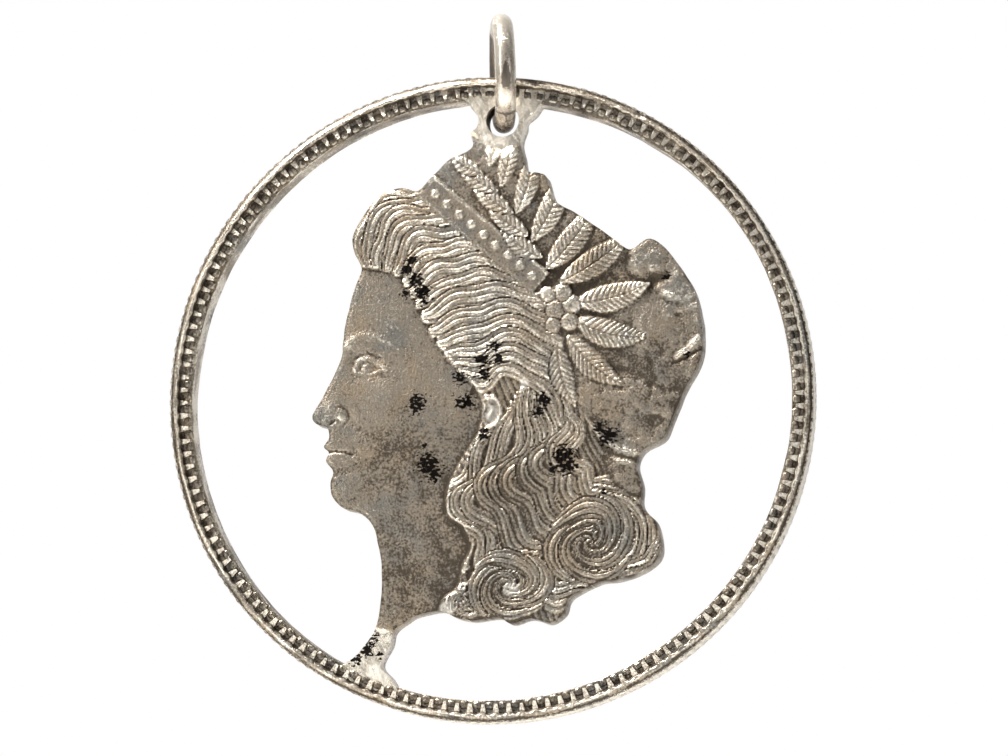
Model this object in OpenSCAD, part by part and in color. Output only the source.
// Coin pendant: a silver coin pierced so that its border ring and the head in relief are left,
// hung from a round-wire jump ring. Millimetres, +Z up. The face of the coin looks towards -Y.
// The origin is the inside top of the jump ring, where a chain bears.

/* [Coin] */
// Diameter of the coin over its reeded edge
coin_d = 38.1; // [34:0.1:44]
// Thickness over the raised lips
lip_thickness = 2.4; // [2.2:0.05:3]
// Depth of the front field below the front lip
front_sink = 0.4; // [0.2:0.01:0.45]
// Depth of the back field below the back lip
back_sink = 0.28; // [0.2:0.01:0.4]
// Width of the raised lip
lip_w = 0.56; // [0.4:0.02:0.6]
// Length of a denticle from the lip inwards
denticle_len = 0.62; // [0.4:0.02:0.7]
// Number of denticles round each face
denticle_count = 150; // [60:1:150]
// Width of plain field left inside the denticles by the saw
strip_w = 0.1; // [0.05:0.05:0.3]

/* [Tab and bridge] */
// Diameter of the drilled hole
hole_d = 1.95; // [1.95:0.05:2.1]
// Width of the tab that the hole is drilled through
tab_w = 2.8; // [2.7:0.1:3.4]

/* [Head] */
// Height of the relief at its highest
relief_h = 0.4; // [0.2:0.02:0.46]
// Spacing of the locks of hair
lock_pitch = 1.5; // [1.2:0.1:2.2]

/* [Jump ring] */
// Diameter of the ring over the wire
ring_d = 7.1; // [7:0.1:8]
// Diameter of the wire
wire_d = 1.25; // [0.8:0.05:1.25]
// Turn of the ring from square to the coin
ring_yaw = 11; // [0:1:13]
// Lean of the ring to the left
ring_lean = 2; // [0:0.5:3]

/* [Hidden] */

$fn = 96;
art = coin_d / 38.1;
coin_r = coin_d / 2;
front_lip = lip_thickness / 2;
back_lip = -lip_thickness / 2;
front_field = front_lip - front_sink;
back_field = back_lip + back_sink;
denticle_rise = front_sink * 0.65;
lip_in_r = coin_r - lip_w;
denticle_in_r = lip_in_r - denticle_len;
cut_r = denticle_in_r - strip_w;
edge_chamfer = 0.12;
bed = 0.1;

// Jump ring: its centre line, and the middle of the coin's hole, where the wire passes through
wire_r = wire_d / 2;
ring_mid_r = (ring_d - wire_d) / 2;
ring_in_r = ring_mid_r - wire_r;
ring_drop = ring_in_r + ring_mid_r;
hole_x = ring_drop * sin(ring_lean);
hole_z = -ring_drop * cos(ring_lean);

// The hole's place on the coin, from the coin's centre
hole_u = 0.75 * art;
hole_v = 16.45 * art;
tab_bottom = 14.05 * art;

// Outline of the head from the coin's centre, for a coin of 38.1 mm, anticlockwise from the tab
hair_front = [[-1.3, 14.6], [-2.4, 14.1], [-3.2, 13.35], [-4.2, 12.35], [-5.4, 12.5], [-6.7, 11.9],
    [-7.5, 10.85], [-8.1, 9.65], [-8.0, 8.65], [-7.6, 7.75]];
face_front = [[-7.95, 6.75], [-8.3, 5.55], [-8.55, 4.35], [-8.7, 3.35], [-8.75, 2.65], [-9.2, 1.5],
    [-9.75, 0.4], [-10.3, -0.55], [-10.5, -1.0], [-10.25, -1.4], [-9.6, -1.6], [-9.5, -2.2], [-9.8, -2.75],
    [-9.5, -3.1], [-9.65, -3.6], [-9.25, -4.2], [-9.4, -4.9], [-9.3, -5.7], [-8.7, -6.35], [-7.7, -6.65]];
neck_front = [[-6.85, -7.55], [-6.45, -9.25], [-6.35, -10.65], [-6.45, -12.05], [-6.7, -13.35],
    [-6.7, -14.35], [-5.9, -13.95], [-5.0, -13.1], [-4.3, -12.7], [-2.9, -12.45]];
curls_edge = [[-2.0, -12.85], [-1.0, -13.05], [0.5, -12.9], [1.3, -13.25], [2.4, -12.95], [3.5, -13.25],
    [4.35, -12.7], [4.75, -11.8], [6.35, -10.95], [7.75, -10.75], [9.15, -10.2], [9.95, -9.5],
    [10.05, -8.6], [9.75, -7.4], [8.95, -6.5], [8.95, -5.3], [8.65, -4.1]];
cap_edge = [[9.05, -3.2], [10.25, -2.5], [10.85, -1.15], [11.55, 0.45], [12.35, 1.95], [12.55, 3.5],
    [12.25, 5.5], [11.55, 7.05], [10.45, 8.55], [9.45, 9.2], [8.55, 8.7]];
leaf_edge = [[8.05, 8.7], [7.05, 9.45], [5.95, 10.25], [5.05, 10.85], [4.05, 11.4], [3.65, 12.0],
    [3.35, 13.0], [2.95, 13.25], [2.2, 13.4], [2.0, 14.25], [1.6, 14.85], [0.2, 14.95]];
head_edge = concat(hair_front, face_front, neck_front, curls_edge, cap_edge, leaf_edge);
head_mid = [0.5, -0.5];
steps_per_point = 2;
head_rings = 26;

// Where the hair begins: rows of [height, across], lowest first
hairline = [[-13.55, -2.7], [-11.15, -1.9], [-8.75, -1.1], [-6.75, -2.5], [-3.35, -1.5], [-0.5, -0.4],
    [1.75, -2.0], [4.65, -4.0], [6.3, -4.8], [7.5, -5.9], [7.85, -7.7], [7.95, -12.1]];
// Where the cap begins: rows of [height, across], lowest first
capline = [[-6.3, 10.45], [-5.85, 8.05], [-4.35, 6.85], [-2.65, 6.45], [-1.0, 5.45], [1.0, 4.85],
    [2.8, 4.35], [4.8, 4.25], [6.7, 3.05], [9.7, -0.4], [12.55, -3.7], [13.9, -5.3]];
// The headband, from its end at the brow to its end behind the leaves
band_from = [-4.0, 12.8];
band_to = [3.05, 6.7];
band_w = 1.65;
// The leaves: rows of [across, up, length, width, direction]
leaf_rows = [[4.05, 3.1, 3.9, 1.45, -74], [4.65, 3.6, 4.5, 1.55, -42], [5.05, 4.5, 4.5, 1.65, -14],
    [5.05, 5.5, 4.6, 1.65, 14], [4.15, 6.7, 5.0, 1.6, 34], [3.35, 7.5, 5.1, 1.55, 52],
    [3.55, 7.9, 3.9, 1.3, 118], [2.5, 9.15, 4.9, 1.45, 66], [2.7, 9.5, 3.9, 1.25, 116],
    [1.6, 10.85, 4.2, 1.3, 76], [1.8, 10.95, 3.6, 1.15, 114], [0.7, 12.45, 3.6, 1.15, 82],
    [0.9, 12.35, 3.2, 1.05, 112]];
// The berries: rows of [across, up, radius]
berry_rows = [[3.95, 5.1, 0.66], [4.85, 5.4, 0.6], [4.35, 6.1, 0.56], [3.45, 6.0, 0.5], [4.75, 4.4, 0.55],
    [3.75, 4.2, 0.5]];
// The curls: rows of [across, up, radius, turn]
curl_rows = [[-1.4, -11.95, 1.3, -1], [1.2, -11.0, 2.4, -1], [5.95, -8.5, 3.2, -1]];

// 0 below a, 1 above b, smooth between
function ease(a, b, x) = let (t = min(1, max(0, (x - a) / (b - a)))) t * t * (3 - 2 * t);
function mix(a, b, t) = a + (b - a) * t;

// A round bump with a flat foot
function bump(p, at, r) = let (d = norm(p - at) / r) d < 1 ? sqrt(1 - d * d) : 0;

// A pointed leaf with a sunk midrib
function leaf(p, row) =
    let (q = p - [row[0], row[1]],
         along = (q.x * cos(row[4]) + q.y * sin(row[4])) / row[2],
         across = abs(q.y * cos(row[4]) - q.x * sin(row[4])) / (row[3] / 2),
         half = along > 0 && along < 1 ? pow(sin(180 * along), 0.8) : 0)
    half > 0 && across < half ? 1 - 0.35 * (across < 0.2 ? 1 : 0) - 0.3 * across : 0;

// Locks that wave back from the brow and fall behind the ear
function fan_phase(p) =
    let (q = p - [6, -6], turn = atan2(q.y, q.x))
    norm(q) * turn / 57.3 / lock_pitch + 0.28 * sin(norm(q) * 75);
function fall_phase(p) = (p.x + 0.5 * sin(p.y * 62)) / lock_pitch;
function curl_phase(p, row) =
    let (q = p - [row[0], row[1]])
    norm(q) / (lock_pitch * 0.8) + row[3] * atan2(q.y, q.x) / 360;
function curl_share(p, row) = 1 - ease(row[2] * 0.8, row[2], norm(p - [row[0], row[1]]));
function lock_wave(phase) = abs(cos(180 * phase));

function hair_wave(p) =
    let (falls = 1 - ease(-1.5, 1.5, p.y),
         loose = mix(lock_wave(fan_phase(p)), lock_wave(fall_phase(p)), falls),
         shares = [for (row = curl_rows) curl_share(p, row)],
         most = max(shares),
         curl = curl_rows[search(most, shares)[0]])
    mix(loose, lock_wave(curl_phase(p, curl)), most);

// The face: a cheek, a brow, an eye in its hollow, a nose, a mouth, a chin, and a jaw that turns under
function face_level(p) =
    0.6 + 0.2 * bump(p, [-5.5, -1.6], 3.6) + 0.12 * bump(p, [-6.3, 5.3], 2.3)
    - 0.2 * bump(p, [-7.4, 2.05], 1.2) + 0.2 * bump(p, [-7.4, 1.95], 0.6)
    + 0.14 * bump(p, [-9.4, -0.8], 0.9) + 0.08 * bump(p, [-9.0, -3.05], 0.9) + 0.12 * bump(p, [-8.6, -5.2], 1.0)
    - 0.2 * ease(-6, -8, p.y);

// The cap: soft folds that run back from the leaves, a rolled lobe with a hollow beside it, and a low lump
function cap_level(p) =
    let (q = p - [4.85, 4.2], turn = atan2(q.y, q.x))
    0.66 + 0.14 * cos(turn * 9 + 40 * sin(norm(q) * 40)) * ease(1.5, 4, norm(q))
    + 0.25 * bump(p, [9.35, 7.9], 1.4) - 0.2 * bump(p, [9.75, 6.75], 0.8) + 0.14 * bump(p, [7.85, -4.65], 1.7);

function in_band(p) =
    let (run = band_to - band_from, length = norm(run), way = run / length, q = p - band_from,
         along = q * way, across = abs(q.x * way.y - q.y * way.x))
    along > -0.4 && along < length && across < band_w / 2 ? 1 : 0;

// Height of the relief over the field, as a share of its highest
function level(p) =
    let (leaves = max([for (row = leaf_rows) leaf(p, row)]),
         berries = max([for (row = berry_rows) bump(p, [row[0], row[1]], row[2])]),
         in_hair = ease(-0.3, 0.3, p.x - lookup(p.y, hairline)),
         in_cap = ease(-0.3, 0.3, p.x - lookup(p.y, capline)),
         hair = mix(0.45, 0.9, hair_wave(p)),
         ground = mix(mix(face_level(p), hair, in_hair), cap_level(p), in_cap))
    max(mix(ground, 0.8, in_band(p)), leaves > 0 ? 0.55 + 0.4 * leaves : 0,
        berries > 0 ? 0.6 + 0.4 * berries : 0);

// A point between two of a closed list, on a smooth curve through them
function on_curve(list, i, t) =
    let (n = len(list), a = list[(i + n - 1) % n], b = list[i], c = list[(i + 1) % n], d = list[(i + 2) % n])
    0.5 * (2 * b + (c - a) * t + (2 * a - 5 * b + 4 * c - d) * t * t + (3 * b - a - 3 * c + d) * t * t * t);

module head() {
    edge = [for (i = [0 : len(head_edge) - 1], s = [0 : steps_per_point - 1])
        on_curve(head_edge, i, s / steps_per_point)];
    n = len(edge);
    // Rounding at the edge of the relief, from the saw cut inwards
    function front_at(p, j) = front_field + relief_h * max(0.12, level(p) * ease(-0.6, 1, j / 1.5));
    front = [for (j = [0 : head_rings - 1], q = edge)
        let (p = mix(q, head_mid, j / head_rings)) [art * p.x, art * p.y, front_at(p, j)]];
    middle = [[art * head_mid.x, art * head_mid.y, front_at(head_mid, head_rings)]];
    back = [for (q = edge) [art * q.x, art * q.y, back_field]];
    back_middle = [[art * head_mid.x, art * head_mid.y, back_field]];
    tip = n * head_rings;
    foot = tip + 1;
    grid = [for (j = [0 : head_rings - 2], i = [0 : n - 1])
        let (a = j * n + i, b = j * n + (i + 1) % n)
        each [[a, a + n, b + n], [a, b + n, b]]];
    crown = [for (i = [0 : n - 1]) [tip - n + i, tip, tip - n + (i + 1) % n]];
    wall = [for (i = [0 : n - 1])
        let (k = (i + 1) % n)
        each [[i, k, foot + k], [i, foot + k, foot + i]]];
    base = [for (i = [0 : n - 1]) [foot + i, foot + (i + 1) % n, foot + n]];
    polyhedron(concat(front, middle, back, back_middle), concat(grid, crown, wall, base), convexity = 6);
}

// The border ring, turned about the coin's own axis
module border() {
    rotate_extrude()
        polygon([[cut_r, back_field], [lip_in_r - denticle_rise * 0.3, back_field], [lip_in_r, back_lip],
            [coin_r - edge_chamfer, back_lip], [coin_r, back_lip + edge_chamfer],
            [coin_r, front_lip - edge_chamfer], [coin_r - edge_chamfer, front_lip],
            [lip_in_r, front_lip], [lip_in_r - denticle_rise * 0.3, front_field], [cut_r, front_field]]);
}

// One face's denticles: a cog that grows inwards out of the lip
module denticles(from, to) {
    pitch = 360 / denticle_count;
    root_r = lip_in_r + lip_w / 4;
    // A tooth's corners: rows of [radius, share of the pitch]
    tooth = [[lip_in_r - 0.06, 0.26], [denticle_in_r, 0.2], [denticle_in_r, 0.8], [lip_in_r - 0.06, 0.74]];
    outer = [for (i = [0 : denticle_count - 1]) root_r * [cos(i * pitch), sin(i * pitch)]];
    inner = [for (i = [0 : denticle_count - 1], c = tooth)
        c[0] * [cos((i + c[1]) * pitch), sin((i + c[1]) * pitch)]];
    n = len(outer);
    translate([0, 0, from])
        linear_extrude(to - from)
            polygon(concat(outer, inner), [[for (i = [0 : n - 1]) i], [for (i = [0 : len(inner) - 1]) n + i]]);
}

// The tab at the top, with the small spurs that the saw left beside it
module tab() {
    half = tab_w / 2;
    top = sqrt(cut_r * cut_r - (hole_u + half) * (hole_u + half)) + strip_w + bed;
    outline = [[-half + 0.2, tab_bottom], [half - 0.2, tab_bottom], [half, hole_v - 0.9],
        [half, hole_v + 0.2], [half + 0.6, hole_v + 0.5], [half + 0.9, top], [-half - 0.8, top],
        [-half - 0.5, hole_v + 0.8], [-half, hole_v + 0.3], [-half, hole_v - 0.3],
        [-half - 0.4, hole_v - 0.7], [-half - 0.2, hole_v - 1.3]];
    translate([0, 0, back_field])
        linear_extrude(front_field - back_field)
            polygon([for (p = outline) [hole_u + p.x, p.y]]);
}

// The small bridge between the neck's tip and the ring
module bridge() {
    outline = [[-6.6, -13.25], [-7.15, -14.15], [-8.0, -15.1], [-8.8, -15.8], [-8.4, -16.4], [-6.7, -17.05],
        [-5.4, -17.35], [-5.8, -16.45], [-6.4, -15.75], [-6.3, -15.15], [-5.9, -14.45], [-5.5, -13.45]];
    translate([0, 0, back_field])
        linear_extrude(front_field - back_field)
            polygon([for (p = outline) art * p]);
}

module cut_coin() {
    color("silver")
        translate([hole_x, 0, hole_z])
            rotate([90, 0, 0])
                translate([-hole_u, -hole_v, 0])
                    difference() {
                        union() {
                            border();
                            denticles(front_field - bed, front_field + denticle_rise);
                            denticles(back_field - denticle_rise, back_field + bed);
                            tab();
                            bridge();
                            head();
                        }
                        translate([hole_u, hole_v, back_lip])
                            cylinder(d = hole_d, h = lip_thickness);
                    }
}

module jump_ring() {
    color("gainsboro")
        rotate([0, -ring_lean, 0])
            translate([0, 0, -ring_in_r])
                rotate([0, 0, ring_yaw])
                    rotate([0, 90, 0])
                        rotate_extrude()
                            translate([ring_mid_r, 0])
                                circle(d = wire_d);
}

cut_coin();
jump_ring();
